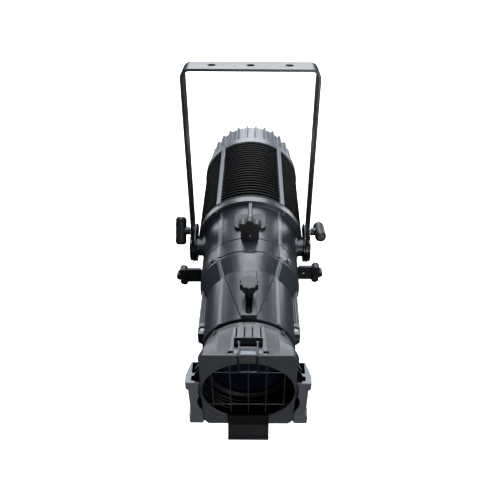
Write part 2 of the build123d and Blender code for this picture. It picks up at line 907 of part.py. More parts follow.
with BuildPart() as fan_frame:
    with BuildSketch(facing(fan_back)):
        Rectangle(fan_size, fan_size)
        fillet(vertices(), fan_corner)
        Circle(fan_bore_radius, mode=Mode.SUBTRACT)
    extrude(amount=fan_depth)
    with BuildSketch(facing(fan_back)):
        Circle(fan_hub_radius + 1)
        with PolarLocations((fan_bore_radius + fan_hub_radius) / 2, 4, start_angle=45):
            Rectangle(fan_bore_radius - fan_hub_radius + 2, fan_strut_width)
    extrude(amount=fan_strut_depth)
    with BuildSketch(facing(fan_back + fan_strut_depth)):
        Circle(fan_spindle_radius)
    extrude(amount=fan_rotor_length - fan_strut_depth)
save(fan_frame, "fan_frame")

with BuildPart() as fan_rotor:
    rotor_back = fan_back + fan_strut_depth + 2 * slide_gap
    rotor_middle = rotor_back + fan_rotor_length / 2
    blade_root = fan_hub_radius - 1
    blade_tip = fan_bore_radius - fan_tip_gap
    for index in range(fan_blade_count):
        angle = index * 360 / fan_blade_count
        blade_plane = on_skin(rotor_middle, angle, blade_root).rotated((0, 0, fan_blade_pitch))
        with BuildSketch(blade_plane):
            Rectangle(fan_blade_chord, fan_blade_sheet)
        extrude(amount=blade_tip)
    turned_band(rotor_back, rotor_back + fan_rotor_length, 0, blade_tip, mode=Mode.INTERSECT)
    turned_band(rotor_back, rotor_back + fan_rotor_length, 0, fan_hub_radius)
    spindle_end = fan_back + fan_rotor_length + running
    turned_band(rotor_back - 1, spindle_end, 0, fan_spindle_radius + running, mode=Mode.SUBTRACT)
save(fan_rotor, "fan_rotor")

with BuildPart() as driver_board:
    with BuildSketch(facing(board_seat)):
        Rectangle(board_width, board_height)
    extrude(amount=board_thickness)
    for place, width, height, depth in board_parts:
        with BuildSketch(facing(board_station)):
            with Locations(place):
                Rectangle(width, height)
        extrude(amount=depth)
save(driver_board, "driver_board")

with BuildPart() as control_panel:
    with BuildSketch(facing(panel_back)):
        Circle(panel_radius)
        panel_openings(Mode.SUBTRACT)
    extrude(amount=panel_thickness)
save(control_panel, "control_panel")

with BuildPart() as display_window:
    with BuildSketch(facing(panel_back - window_thickness)):
        with Locations((0, display_rise)):
            RectangleRounded(display_width, display_height, display_lip)
    extrude(amount=window_thickness)
    with BuildSketch(facing(panel_back)):
        with Locations((0, display_rise)):
            tongue = 2 * (display_lip + slide_gap)
            Rectangle(display_width - tongue, display_height - tongue)
    extrude(amount=panel_thickness + cap_wall)
save(display_window, "display_window")

for index, name in enumerate(("menu", "down", "up", "enter")):
    cap_level = panel_back - button_travel - slide_gap
    button_steps = (
        (cap_level - button_proud, button_radius, button_proud),
        (cap_level, button_radius - button_lip, panel_thickness + cap_wall + button_travel + slide_gap),
    )
    with BuildPart() as button:
        for station, radius, length in button_steps:
            with BuildSketch(facing(station)):
                with Locations(((1.5 - index) * button_pitch, 0)):
                    Circle(radius)
            extrude(amount=length)
    save(button, f"button_{name}")

with BuildPart() as power_sockets:
    for side in (1, -1):
        round_socket(side * socket_spread, -socket_drop, socket_radius, 3, power_contact_circle)
save(power_sockets, "power_sockets")

with BuildPart() as data_sockets:
    for side in (1, -1):
        round_socket(side * data_spread, -data_drop, data_socket_radius, 5, data_contact_circle)
save(data_sockets, "data_sockets")

# ================================================================ gate and shutters
with BuildPart() as gate_ring:
    web_end = spacer_front + web_thickness
    turned(
        (gate_back, cavity_radius),
        (gate_back, housing_radius),
        (gate_front, housing_radius),
        (gate_front, spigot_radius + slide_gap),
        (web_end, spigot_radius + slide_gap),
        (web_end, web_hole_radius),
        (spacer_front, web_hole_radius),
        (spacer_front, cavity_radius),
    )
    ribs(gate_back, gate_front, housing_radius - rib_root, housing_radius + rib_height, rib_angles)
    for seam_start in (gate_back, gate_front - seam / 2):
        seam_end = seam_start + seam / 2
        turned_band(seam_start, seam_end, seam_floor, housing_radius + past, mode=Mode.SUBTRACT)
    shutter_slots()
    for angle in gate_screw_angles:
        screw_hole(on_skin(gate_screw_station, angle, housing_radius), housing_radius - spigot_radius + 1)
save(gate_ring, "gate_ring")

with BuildPart() as gate_plates:
    for index in range(5):
        with BuildSketch(facing(spacer_front - spacer_thickness - index * blade_pitch)):
            Circle(cavity_radius - slide_gap)
            Circle(aperture_radius, mode=Mode.SUBTRACT)
        extrude(amount=spacer_thickness)
save(gate_plates, "gate_plates")

for name, (order, angle) in shutters.items():
    blade_back = blade_station(order) - blade_thickness / 2
    handle_back = blade_station(order) - handle_thickness / 2
    handle_end = handle_start + handle_length
    handle_middle = (handle_start + handle_end) / 2
    with BuildPart() as blade:
        with BuildSketch(facing(blade_back, angle)):
            with BuildLine():
                Polyline(
                    (-blade_half_width, -blade_overlap),
                    (blade_half_width, -blade_overlap),
                    (blade_half_width, blade_reach - blade_corner),
                    (blade_half_width - blade_corner, blade_reach),
                    (blade_corner - blade_half_width, blade_reach),
                    (-blade_half_width, blade_reach - blade_corner),
                    close=True,
                )
            make_face()
            with Locations((0, (blade_reach - 1 + handle_end) / 2)):
                Rectangle(tail_width, handle_end - blade_reach + 1)
            with Locations((0, handle_start + rivet_rise)):
                Circle(rivet_radius, mode=Mode.SUBTRACT)
        extrude(amount=blade_thickness)
    save(blade, f"shutter_blade_{name}")

    with BuildPart() as handle:
        with BuildSketch(facing(handle_back, angle)):
            with Locations((0, handle_middle)):
                RectangleRounded(handle_width, handle_length, handle_corner)
        extrude(amount=handle_thickness)
        with BuildSketch(facing(blade_station(order) - clover_thickness / 2, angle)):
            with Locations((0, handle_end + clover_rise)):
                Rectangle(2 * clover_spread, clover_waist)
            lobe_level = handle_end + clover_rise
            with Locations((-clover_spread, lobe_level), (clover_spread, lobe_level)):
                Circle(clover_lobe)
            with Locations((0, handle_end + 2 * clover_rise)):
                Circle(clover_lobe)
        extrude(amount=clover_thickness)
        with BuildSketch(facing(blade_back, angle)):
            with Locations((0, handle_middle)):
                Rectangle(tail_width, handle_length)
        extrude(amount=blade_thickness, mode=Mode.SUBTRACT)
        with BuildSketch(facing(handle_back - rivet_proud, angle)):
            with Locations((0, handle_start + rivet_rise)):
                Circle(rivet_radius)
        extrude(amount=handle_thickness + 2 * rivet_proud)
    save(handle, f"shutter_handle_{name}")

# ================================================================ barrel
with BuildPart() as barrel:
    spigot_bore = spigot_radius - spigot_wall
    turned(
        (barrel_back, spigot_bore),
        (barrel_back, barrel_flange_radius),
        (cone_back, barrel_flange_radius),
        (cone_front, barrel_radius),
        (mouth, barrel_radius),
        (mouth, bore_radius),
        (cone_front - bore_lead, bore_radius),
        (cone_back, spigot_bore),
    )
    turned_band(barrel_back - spigot_length, cone_back, spigot_bore, spigot_radius)
    rib_crest = barrel_radius + rib_height
    flange_crest = housing_radius + rib_height
    ribs(cone_front - 1, mouth, barrel_radius - rib_root, rib_crest, rib_angles)
    ribs(barrel_back, cone_back, barrel_flange_radius - rib_root, flange_crest, rib_angles)
    for angle in rib_angles:
        with BuildSketch(radial(angle)):
            with BuildLine():
                Polyline(
                    (cone_back - 1, barrel_flange_radius - rib_root),
                    (cone_back - 1, flange_crest),
                    (cone_front, rib_crest),
                    (cone_front, barrel_radius - rib_root),
                    close=True,
                )
            make_face()
        extrude(amount=rib_width / 2, both=True)
    for side in (1, -1):
        flange_centre = side * (side_flange_root + side_flange_reach) / 2
        with BuildSketch(facing(cone_back - 1)):
            with Locations((flange_centre, (side_flange_top - side_flange_drop) / 2)):
                Rectangle(side_flange_reach - side_flange_root, side_flange_top + side_flange_drop)
            outer_corners = vertices().group_by(Axis.X)[-1 if side == 1 else 0]
            chamfer(outer_corners.group_by(Axis.Y)[0], side_flange_chamfer)
        extrude(amount=side_flange_front - cone_back + 1)
    with BuildSketch(level(bore_radius)):
        with Locations(((pad_back + mouth) / 2, 0)):
            Rectangle(mouth - pad_back, 2 * fairing_front_half)
    extrude(amount=pad_top - bore_radius)
    turned_band(cone_front - bore_lead, mouth + past, 0, bore_radius, mode=Mode.SUBTRACT)
    turned_band(barrel_back - spigot_length - past, cone_back, 0, spigot_bore, mode=Mode.SUBTRACT)
    turned_band(barrel_back, barrel_back + seam / 2, seam_floor, flange_crest + past, mode=Mode.SUBTRACT)
    focus_slot()
    for side in (1, -1):
        for station in (side_screw_rear, side_screw_front):
            with BuildSketch(level(side_flange_top, station, side * side_screw_reach)):
                Circle(side_screw_hole)
            extrude(amount=-side_screw_sink, mode=Mode.SUBTRACT)
            hole_plane = level(side_flange_top, station, side * side_screw_reach)
            screw_hole(hole_plane, side_flange_top + side_flange_drop)
        groove_middle = (side_screw_rear + side_screw_front) / 2
        with BuildSketch(level(side_flange_top, groove_middle, side * side_screw_reach)):
            with GridLocations(0, side_groove_pitch, 1, 3):
                Rectangle(side_screw_front - side_screw_rear - 2 * side_groove_margin, side_groove_width)
        extrude(amount=-side_groove_depth, mode=Mode.SUBTRACT)

with BuildPart() as fairing:
    fairing_back = cone_front - fairing_lead
    fairing_front = mouth - fairing_setback
    turned_band(fairing_back, fairing_front, barrel_radius - 1, barrel_radius + fairing_rise)
    with BuildSketch(level(0)):
        with BuildLine():
            Polyline(
                (fairing_back, -fairing_rear_half),
                (fairing_front, -fairing_front_half),
                (fairing_front, fairing_front_half),
                (fairing_back, fairing_rear_half),
                close=True,
            )
        make_face()
    extrude(amount=pad_top + past, mode=Mode.INTERSECT)
    focus_slot()

for name, keep in (("top", Keep.TOP), ("bottom", Keep.BOTTOM)):
    with BuildPart() as barrel_half:
        add(barrel.part)
        if name == "top":
            add(fairing.part)
        groove_floor = spigot_radius - gate_groove_depth
        groove_start = gate_screw_station - gate_groove_width / 2
        for angle in gate_screw_angles:
            with BuildSketch(radial(angle + gate_groove_half)):
                band(groove_start, groove_start + gate_groove_width, groove_floor, spigot_radius + 1)
            revolve(axis=lamp_axis, revolution_arc=2 * gate_groove_half, mode=Mode.SUBTRACT)
        split(bisect_by=Plane(pivot, z_dir=(0, 0, 1)), keep=keep)
    save(barrel_half, f"barrel_{name}")

with BuildPart() as barrel_screws:
    screw_seat = side_flange_top - side_screw_sink
    for side in (1, -1):
        for station in (side_screw_rear, side_screw_front):
            screw(level(screw_seat, station, side * side_screw_reach), screw_seat + side_flange_drop - 1)
save(barrel_screws, "barrel_screws")

with BuildPart() as gate_screws:
    for angle in gate_screw_angles:
        head_seat = on_skin(gate_screw_station, angle, housing_radius)
        screw(head_seat, housing_radius - spigot_radius + gate_groove_depth - 2 * slide_gap)
save(gate_screws, "gate_screws")

# ================================================================ lens tube and accessory holder
with BuildPart() as lens_tube:
    lip_radius = tube_bore - lens_lip
    turned(
        (tube_back, lip_radius),
        (tube_back, tube_radius),
        (tube_front, tube_radius),
        (tube_front, tube_bore),
        (rear_lens_back, tube_bore),
        (rear_lens_back, lip_radius),
    )
    with BuildSketch(on_skin(focus_rest, 0, tube_radius)):
        Circle(focus_stud_radius + running)
    extrude(amount=-tube_wall - 1, mode=Mode.SUBTRACT)
    for angle in holder_screw_angles:
        screw_hole(on_skin(holder_screw_station, angle, tube_radius), tube_wall + 1)
save(lens_tube, "lens_tube")

with BuildPart() as rear_lens:
    lens(rear_lens_back, tube_bore - slide_gap, rear_lens_crown, lens_edge)
save(rear_lens, "rear_lens")

with BuildPart() as accessory_holder:
    turned(
        (collar_back, tube_radius + running),
        (collar_back, collar_radius),
        (front_web_station, collar_radius),
        (front_web_station, front_web_radius),
        (front_web_back, front_web_radius),
        (front_web_back, front_cell_radius),
        (tube_front, front_cell_radius),
        (tube_front, tube_radius + running),
    )
    middle_section = hood_section(hood_middle, hood_middle_corners)
    front_section = hood_section(hood_front, hood_front_corners)
    loft([hood_section(hood_back, hood_back_corners), middle_section], ruled=True)
    loft([middle_section, front_section], ruled=True)
    extrude(front_section, amount=plate_back - hood_front)
    for angle in crest_groove_angles:
        with BuildSketch(radial(angle)):
            band(hood_back, hood_middle, collar_radius - crest_groove_depth, collar_radius + past)
        extrude(amount=crest_groove_width / 2, both=True, mode=Mode.SUBTRACT)
    turned_band(hood_back - 1, front_web_back, 0, front_cell_radius, mode=Mode.SUBTRACT)
    turned_band(front_web_back, front_web_station, 0, front_web_radius, mode=Mode.SUBTRACT)
    bracket_back = plate_front - bracket_depth
    for side in (1, -1):
        with BuildSketch(facing(bracket_back)):
            with BuildLine():
                Polyline(
                    (side * bracket_inner, bracket_top),
                    (side * bracket_outer, bracket_top),
                    (side * bracket_outer, bracket_step),
                    (side * bracket_waist, bracket_step - bracket_chamfer),
                    (side * bracket_waist, -bracket_foot),
                    (side * bracket_outer, -bracket_foot),
                    (side * bracket_outer, -bracket_bottom),
                    (side * bracket_inner, -bracket_bottom),
                    close=True,
                )
            make_face()
        extrude(amount=bracket_depth)
    with BuildSketch(facing(bracket_back)):
        with Locations((0, foot_strip - bracket_bottom)):
            Rectangle(2 * bracket_inner + 2, foot_strip)
    extrude(amount=bracket_depth - plate_thickness)
    with BuildSketch(facing(clip_back - foot_strip)):
        with Locations((0, bridge_top - bridge_height / 2)):
            Rectangle(2 * bridge_half_width, bridge_height)
    extrude(amount=plate_back - clip_back + foot_strip)
    turned_band(front_web_station, plate_front + past, 0, hood_bore, mode=Mode.SUBTRACT)
    turned_band(plate_back - guard_seat_depth, plate_front + past, 0, guard_seat_radius, mode=Mode.SUBTRACT)
    for side in (1, -1):
        nose_start = side * (bracket_outer - bracket_nose)
        with BuildSketch(level(bracket_top + past)):
            with BuildLine():
                Polyline(
                    (bracket_back, nose_start),
                    (bracket_back + bracket_nose_length, side * bracket_outer),
                    (bracket_back + bracket_nose_length, side * (bracket_outer + past)),
                    (bracket_back - past, side * (bracket_outer + past)),
                    (bracket_back - past, nose_start),
                    close=True,
                )
            make_face()
        extrude(amount=-(bracket_top + bracket_bottom + 2 * past), mode=Mode.SUBTRACT)
        with BuildSketch(facing(plate_front - bracket_lip)):
            with Locations((side * (bracket_inner + thumb_bite - thumb_radius), thumb_level)):
                Circle(thumb_radius)
            with Locations((side * (bracket_inner + thumb_bite), thumb_level)):
                Rectangle(2 * thumb_bite, 2 * thumb_radius, mode=Mode.INTERSECT)
        extrude(amount=bracket_lip + past, mode=Mode.SUBTRACT)
        with BuildSketch(facing(plate_front - bracket_groove)):
            with Locations((side * (bracket_inner + bracket_outer) / 2, -bracket_foot - bracket_groove_drop)):
                Rectangle(bracket_outer - bracket_inner + 2 * past, bracket_groove)
        extrude(amount=bracket_groove + past, mode=Mode.SUBTRACT)
    front_start = plate_front - bracket_lip - front_pocket
    rear_start = front_start - pocket_rib - rear_pocket
    pocket_roof = plate_top
    for side in (1, -1):
        for start, depth in ((front_start, front_pocket), (rear_start, rear_pocket)):
            with BuildSketch(facing(start)):
                with Locations((side * (pocket_inner + pocket_outer) / 2, (pocket_roof - bracket_foot) / 2)):
                    Rectangle(pocket_outer - pocket_inner, pocket_roof + bracket_foot)
            extrude(amount=depth, mode=Mode.SUBTRACT)
        with BuildSketch(level(bridge_top, plate_back - bridge_slot_setback, side * bridge_slot_spread)):
            Rectangle(bridge_slot_width, bridge_slot_length)
        extrude(amount=-bridge_height, mode=Mode.SUBTRACT)
    for angle in holder_screw_angles:
        screw_hole(on_skin(holder_screw_station, angle, collar_radius), collar_wall)
save(accessory_holder, "accessory_holder")

with BuildPart() as holder_screws:
    for angle in holder_screw_angles:
        screw(on_skin(holder_screw_station, angle, collar_radius), collar_wall + tube_wall)
save(holder_screws, "holder_screws")

with BuildPart() as front_lens:
    lens(front_lens_back, front_lens_radius, front_lens_crown, lens_edge)
save(front_lens, "front_lens")

with BuildPart() as lens_rings:
    rear_ring_back = rear_lens_back + lens_edge
    front_ring_back = front_lens_back - retainer_length
    for start, radius in ((front_ring_back, front_cell_radius), (rear_ring_back, tube_bore)):
        turned_band(start, start + retainer_length, radius - retainer_width, radius - running)
save(lens_rings, "lens_rings")

with BuildPart() as front_plate:
    with BuildSketch(facing(plate_back)):
        shoulder_half = plate_half_width - plate_shoulder
        with BuildLine():
            Polyline(
                (-shoulder_half, plate_top),
                (shoulder_half, plate_top),
                (plate_half_width, plate_top - plate_corner),
                (plate_half_width, plate_corner - plate_bottom),
                (shoulder_half, -plate_bottom),
                (-shoulder_half, -plate_bottom),
                (-plate_half_width, plate_corner - plate_bottom),
                (-plate_half_width, plate_top - plate_corner),
                close=True,
            )
        make_face()
        Circle(plate_hole_radius, mode=Mode.SUBTRACT)
    extrude(amount=plate_thickness)
save(front_plate, "front_plate")

with BuildPart() as guard:
    guard_back = plate_back - guard_ring_thickness
    upright_station = guard_back - guard_wire_radius - running
    cross_station = upright_station - 2 * guard_wire_radius - running
    wire_reach = plate_hole_radius + guard_overlap
    with BuildSketch(facing(guard_back)):
        Circle(guard_seat_radius - slide_gap)
        Circle(wire_reach - guard_overlap / 2, mode=Mode.SUBTRACT)
    extrude(amount=guard_ring_thickness)
    for index in (-2, -1, 0, 1, 2):
        half = sqrt(wire_reach**2 - (index * guard_pitch) ** 2)
        with BuildSketch(level(-half, upright_station, index * guard_pitch)):
            Circle(guard_wire_radius)
        extrude(amount=2 * half)
    for height in (-guard_level, guard_level):
        half = sqrt(wire_reach**2 - height**2)
        with BuildSketch(lamp_side.offset(-half)):
            with Locations((cross_station, height)):
                Circle(guard_wire_radius)
        extrude(amount=2 * half)
save(guard, "guard")

with BuildPart() as front_tab:
    lip_centre = (plate_front + tab_reach, -tab_drop)
    with BuildSketch(lamp_side.offset(-tab_width / 2)):
        with BuildLine():
            Polyline(
                (plate_front, -tab_top),
                (plate_front + tab_thickness, -tab_top),
                (plate_front + tab_thickness, tab_bend - plate_bottom),
                (lip_centre[0] + tab_thickness / 2, lip_centre[1] + tab_thickness / 3),
                (lip_centre[0] - tab_thickness / 2, lip_centre[1] - tab_thickness / 3),
                (plate_front, tab_bend - plate_bottom - tab_thickness),
                close=True,
            )
        make_face()
        with Locations(lip_centre):
            Circle(tab_lip_radius)
    extrude(amount=tab_width)
save(front_tab, "front_tab")

# ================================================================ retaining clip
half_clip = clip_width / 2

with BuildPart() as clip_bracket:
    with BuildSketch(level(bridge_top, clip_block_station)):
        Rectangle(clip_block_length, clip_block_width)
    extrude(amount=clip_block_height)
    for side in (1, -1):
        with BuildSketch(level(bridge_top, clip_block_station + clip_leg_room, side * half_clip)):
            Rectangle(clip_block_length, 2 * (clip_wire_radius + clip_leg_gap))
        extrude(amount=clip_block_height, mode=Mode.SUBTRACT)
    with BuildSketch(lamp_side.offset(-clip_block_width / 2)):
        with Locations((clip_block_station, pin_level)):
            Circle(clip_bar_radius + running)
    extrude(amount=clip_block_width, mode=Mode.SUBTRACT)
save(clip_bracket, "clip_bracket")

with BuildPart() as clip_wire:
    nose = plate_front + clip_wire_radius + clip_standoff
    low = pin_level - clip_drop
    for side in (1, -1):
        with BuildLine(lamp_side.offset(side * half_clip)) as leg:
            leg_start = (clip_block_station - clip_wire_radius, pin_level)
            FilletPolyline(leg_start, (nose, pin_level), (nose, low), radius=clip_bend)
        with BuildSketch(Plane(leg.line @ 0, z_dir=leg.line % 0)):
            Circle(clip_wire_radius)
        sweep(path=leg.line)
    bend_middle = clip_bend * (1 - sqrt(0.5))
    crossbars = (
        (clip_block_station, pin_level, clip_block_width / 2),
        (clip_block_station + clip_bar_reach, pin_level, half_clip),
        (nose - bend_middle, pin_level - bend_middle, half_clip),
        (nose, low + clip_wire_radius, half_clip),
    )
    for station, height, half in crossbars:
        with BuildSketch(lamp_side.offset(-half)):
            with Locations((station, height)):
                Circle(clip_bar_radius)
        extrude(amount=2 * half)
save(clip_wire, "clip_wire")

with BuildPart() as clip_spring:
    spring_centre = clip_block_station + (clip_block_length + clip_spring_length) / 2
    with BuildSketch(level(bridge_top, spring_centre)):
        Rectangle(clip_spring_length, clip_width - 2 * clip_spring_inset)
    extrude(amount=clip_spring_thickness)
save(clip_spring, "clip_spring")

# ================================================================ focus knob
with BuildPart() as focus_stud:
    with BuildSketch(on_skin(focus_rest, 0, tube_bore)):
        Circle(focus_stud_radius)
    extrude(amount=knob_base + knob_height - knob_cap - tube_bore)
save(focus_stud, "focus_stud")

with BuildPart() as focus_knob:
    with BuildSketch(on_skin(focus_rest, 0, knob_base)):
        Circle(knob_radius)
        with PolarLocations(knob_flute_circle, knob_flutes):
            Circle(knob_flute_radius, mode=Mode.SUBTRACT)
    extrude(amount=knob_height)
    with BuildSketch(on_skin(focus_rest, 0, pad_top + slide_gap)):
        Circle(knob_stem_radius)
    extrude(amount=knob_base - pad_top)
    with BuildSketch(on_skin(focus_rest, 0, pad_top)):
        Circle(focus_stud_radius + running)
    extrude(amount=knob_base + knob_height - knob_cap + running - pad_top, mode=Mode.SUBTRACT)
save(focus_knob, "focus_knob")
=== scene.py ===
import json
import math

import bmesh
import bpy
from mathutils import Matrix, Vector

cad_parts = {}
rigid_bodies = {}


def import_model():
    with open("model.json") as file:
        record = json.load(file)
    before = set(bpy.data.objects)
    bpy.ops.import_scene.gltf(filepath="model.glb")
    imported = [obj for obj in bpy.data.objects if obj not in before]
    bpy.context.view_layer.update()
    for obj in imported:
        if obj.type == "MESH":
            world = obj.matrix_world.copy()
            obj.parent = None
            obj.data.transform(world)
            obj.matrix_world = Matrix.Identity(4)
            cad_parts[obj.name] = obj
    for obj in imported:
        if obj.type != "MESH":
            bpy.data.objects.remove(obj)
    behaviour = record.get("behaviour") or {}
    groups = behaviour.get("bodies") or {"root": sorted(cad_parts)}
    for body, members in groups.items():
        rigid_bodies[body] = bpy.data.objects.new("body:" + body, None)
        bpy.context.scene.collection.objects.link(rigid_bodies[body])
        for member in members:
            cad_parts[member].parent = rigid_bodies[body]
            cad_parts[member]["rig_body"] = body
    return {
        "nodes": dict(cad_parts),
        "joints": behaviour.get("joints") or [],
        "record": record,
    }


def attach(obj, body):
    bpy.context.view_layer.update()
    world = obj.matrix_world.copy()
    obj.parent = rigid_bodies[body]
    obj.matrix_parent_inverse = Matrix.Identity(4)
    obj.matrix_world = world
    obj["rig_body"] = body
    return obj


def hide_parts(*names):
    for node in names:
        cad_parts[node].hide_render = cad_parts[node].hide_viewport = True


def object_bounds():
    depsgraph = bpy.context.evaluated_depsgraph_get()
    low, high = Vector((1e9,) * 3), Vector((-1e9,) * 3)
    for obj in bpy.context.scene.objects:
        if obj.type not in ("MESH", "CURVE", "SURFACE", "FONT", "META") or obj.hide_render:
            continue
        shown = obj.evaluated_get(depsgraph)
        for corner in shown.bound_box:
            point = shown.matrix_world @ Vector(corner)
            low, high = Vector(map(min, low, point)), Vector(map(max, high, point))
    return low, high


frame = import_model()
cad_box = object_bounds()
nodes = frame["nodes"]
slots = {row["node"]: row["material_slot"] for row in frame["record"]["subparts"]}
joints = {joint["name"]: joint for joint in frame["joints"]}
openings = frame["record"]["physics"]["openings"]
channel_boxes = [row["box_m"] for row in openings if "channel" in row["name"]]

MM = 0.001
PIVOT = Vector(joints["lamp_tilt"]["pos_m"])
FORWARD = Vector((0, -1, 0))


def at(station):
    """Point on the lamp's axis in metres, from millimetres ahead of the tilt pivot."""
    return PIVOT + FORWARD * station * MM


def outward(angle):
    """Unit vector across the lamp's axis, at an angle from the top towards +X."""
    return Vector((math.sin(math.radians(angle)), 0, math.cos(math.radians(angle))))


# ---------------------------------------------------------------- camera, light and backdrop
CAMERA_SPOT = Vector((0.0056, -0.7252, 0.2759))
CAMERA_DOWN = math.radians(40.43)
CAMERA_ROLL = math.radians(0.37)
CAMERA_LENS = 37.37
CAMERA_SENSOR = 36.0
CAMERA_SHIFT = -0.0069
CAMERA_NEAR = 0.01

# Each light's name, place, width and height in metres, and its power in watts.
LIGHTS = (
    ("back_light", (0.0, 1.6, 1.45), 1.7, 2.2, 80.0),
    ("top_light", (0.0, 0.1, 1.75), 1.5, 1.2, 62.0),
    ("low_back_light", (0.0, 2.4, 0.55), 1.5, 0.7, 9.0),
    ("rim_left", (-1.7, 2.0, -0.15), 0.8, 1.2, 14.0),
    ("rim_right", (1.7, 2.0, -0.15), 0.8, 1.2, 16.0),
    ("front_light", (0.9, -2.3, 0.1), 1.6, 1.0, 52.0),
)
LIGHT_TARGET = Vector((0.0, -0.05, -0.3))
LIGHT_COLOR = (0.90, 0.95, 1.0)
WORLD_COLOR = (0.85, 0.92, 1.0)
WORLD_STRENGTH = 0.06

# The floor lies this far under the lamp at rest, out of reach of the tilted lamp.
FLOOR_DROP = 0.25
FLOOR_SIZE = 14.0
FLOOR_SHADE = (0.8, 0.8, 0.8)
FLOOR_GLOW = 0.88
DOME_RADIUS = 9.0
DOME_SHADE = (0.0, 0.0, 0.0)
DOME_GLOW = 1.05


def make_camera():
    """Camera ahead of the lamp and above it, looking down."""
    data = bpy.data.cameras.new("camera")
    data.lens = CAMERA_LENS
    data.sensor_width = CAMERA_SENSOR
    data.shift_x = CAMERA_SHIFT
    data.clip_start = CAMERA_NEAR
    camera = bpy.data.objects.new("camera", data)
    turn = Matrix.Rotation(math.pi / 2 - CAMERA_DOWN, 4, "X") @ Matrix.Rotation(CAMERA_ROLL, 4, "Z")
    camera.matrix_world = Matrix.Translation(CAMERA_SPOT) @ turn
    bpy.context.scene.collection.objects.link(camera)
    bpy.context.scene.camera = camera


def softbox(name, spot, width, height, power):
    """Rectangular light at a spot that faces the lamp."""
    data = bpy.data.lights.new(name, "AREA")
    data.shape = "RECTANGLE"
    data.size = width
    data.size_y = height
    data.energy = power
    data.color = LIGHT_COLOR
    light = bpy.data.objects.new(name, data)
    light.location = spot
    light.rotation_euler = (LIGHT_TARGET - Vector(spot)).to_track_quat("-Z", "Y").to_euler()
    bpy.context.scene.collection.objects.link(light)


def glowing(name, color, strength):
    """Matt surface that also gives off white light of its own."""
    material = bpy.data.materials.new(name)
    material.use_nodes = True
    shader = material.node_tree.nodes["Principled BSDF"]
    shader.inputs["Base Color"].default_value = (*color, 1.0)
    shader.inputs["Roughness"].default_value = 1.0
    shader.inputs["Specular IOR Level"].default_value = 0.0
    shader.inputs["Emission Color"].default_value = (1.0, 1.0, 1.0, 1.0)
    shader.inputs["Emission Strength"].default_value = strength
    return material


def backdrop(piece, name, material):
    """Scenery that the camera sees and that neither lights the lamp nor shows in its paint."""
    piece.name = name
    piece.data.materials.append(material)
    piece.visible_diffuse = False
    piece.visible_glossy = False
    piece.visible_transmission = False
    piece.visible_shadow = False


def make_studio():
    """Softboxes, a dim sky, and a white floor and dome behind the lamp."""
    for light in LIGHTS:
        softbox(*light)
    world = bpy.data.worlds.new("world")
    bpy.context.scene.world = world
    world.use_nodes = True
    background = world.node_tree.nodes["Background"]
    background.inputs["Color"].default_value = (*WORLD_COLOR, 1.0)
    background.inputs["Strength"].default_value = WORLD_STRENGTH
    bpy.context.scene.view_settings.view_transform = "Standard"
    bpy.context.scene.view_settings.look = "None"

    bpy.ops.mesh.primitive_plane_add(size=FLOOR_SIZE, location=(0, 0, cad_box[0].z - FLOOR_DROP))
    backdrop(bpy.context.object, "floor", glowing("paper", FLOOR_SHADE, FLOOR_GLOW))
    bpy.ops.mesh.primitive_uv_sphere_add(segments=48, ring_count=24, radius=DOME_RADIUS)
    backdrop(bpy.context.object, "dome", glowing("sky", DOME_SHADE, DOME_GLOW))


# ---------------------------------------------------------------- materials
# Lumps per metre of the slow colour drift and of the uneven gloss in paint, metal and plastic.
PAINT_DRIFT = 9.0
PAINT_GLOSS = 60.0
METAL_DRIFT = 40.0
PLASTIC_DRIFT = 120.0
LENS_DUST = 90.0
EMITTERS = 400.0
PAINT_VARIATION = 0.12

# Painted highlight along sharp edges, a paler paint colour standing in for the light that edges catch:
# how far it reaches in metres, and the agreement of normals where it starts and ends.
EDGE_REACH = 0.0012
EDGE_FULL = 0.80
EDGE_NONE = 0.985

# The colour sockets of the Mix node, which share their names with its other sockets.
MIX_FIRST = 6
MIX_SECOND = 7
MIX_RESULT = 2


def new_material(name, color, roughness, metallic=0.0, shine=0.5):
    """Material whose shader holds the plain values; the makers below add its detail."""
    material = bpy.data.materials.new(name)
    material.use_nodes = True
    shader = material.node_tree.nodes["Principled BSDF"]
    shader.inputs["Base Color"].default_value = (*color, 1.0)
    shader.inputs["Roughness"].default_value = roughness
    shader.inputs["Metallic"].default_value = metallic
    shader.inputs["Specular IOR Level"].default_value = shine
    return material, material.node_tree, shader


def noise(tree, scale, detail=4.0, stretch=(1.0, 1.0, 1.0)):
    """Noise in the object's own space, scale in lumps per metre."""
    place = tree.nodes.new("ShaderNodeTexCoord")
    mapping = tree.nodes.new("ShaderNodeMapping")
    mapping.inputs["Scale"].default_value = stretch
    texture = tree.nodes.new("ShaderNodeTexNoise")
    texture.inputs["Scale"].default_value = scale
    texture.inputs["Detail"].default_value = detail
    tree.links.new(place.outputs["Object"], mapping.inputs["Vector"])
    tree.links.new(mapping.outputs["Vector"], texture.inputs["Vector"])
    return texture.outputs["Fac"]


def spread(tree, value, low, high, start=0.3, end=0.7):
    """A value between start and end, stretched to run from low to high."""
    ramp = tree.nodes.new("ShaderNodeMapRange")
    ramp.inputs["From Min"].default_value = start
    ramp.inputs["From Max"].default_value = end
    ramp.inputs["To Min"].default_value = low
    ramp.inputs["To Max"].default_value = high
    tree.links.new(value, ramp.inputs["Value"])
    return ramp.outputs["Result"]


def mixed(tree, share, first, second):
    """Colour between two colours, each a plain colour or another node's socket."""
    mix = tree.nodes.new("ShaderNodeMix")
    mix.data_type = "RGBA"
    tree.links.new(share, mix.inputs["Factor"])
    for socket, color in ((mix.inputs[MIX_FIRST], first), (mix.inputs[MIX_SECOND], second)):
        if isinstance(color, tuple):
            socket.default_value = (*color, 1.0)
        else:
            tree.links.new(color, socket)
    return mix.outputs[MIX_RESULT]


def scaled(color, factor):
    """Colour with each channel multiplied by a factor."""
    return tuple(channel * factor for channel in color)


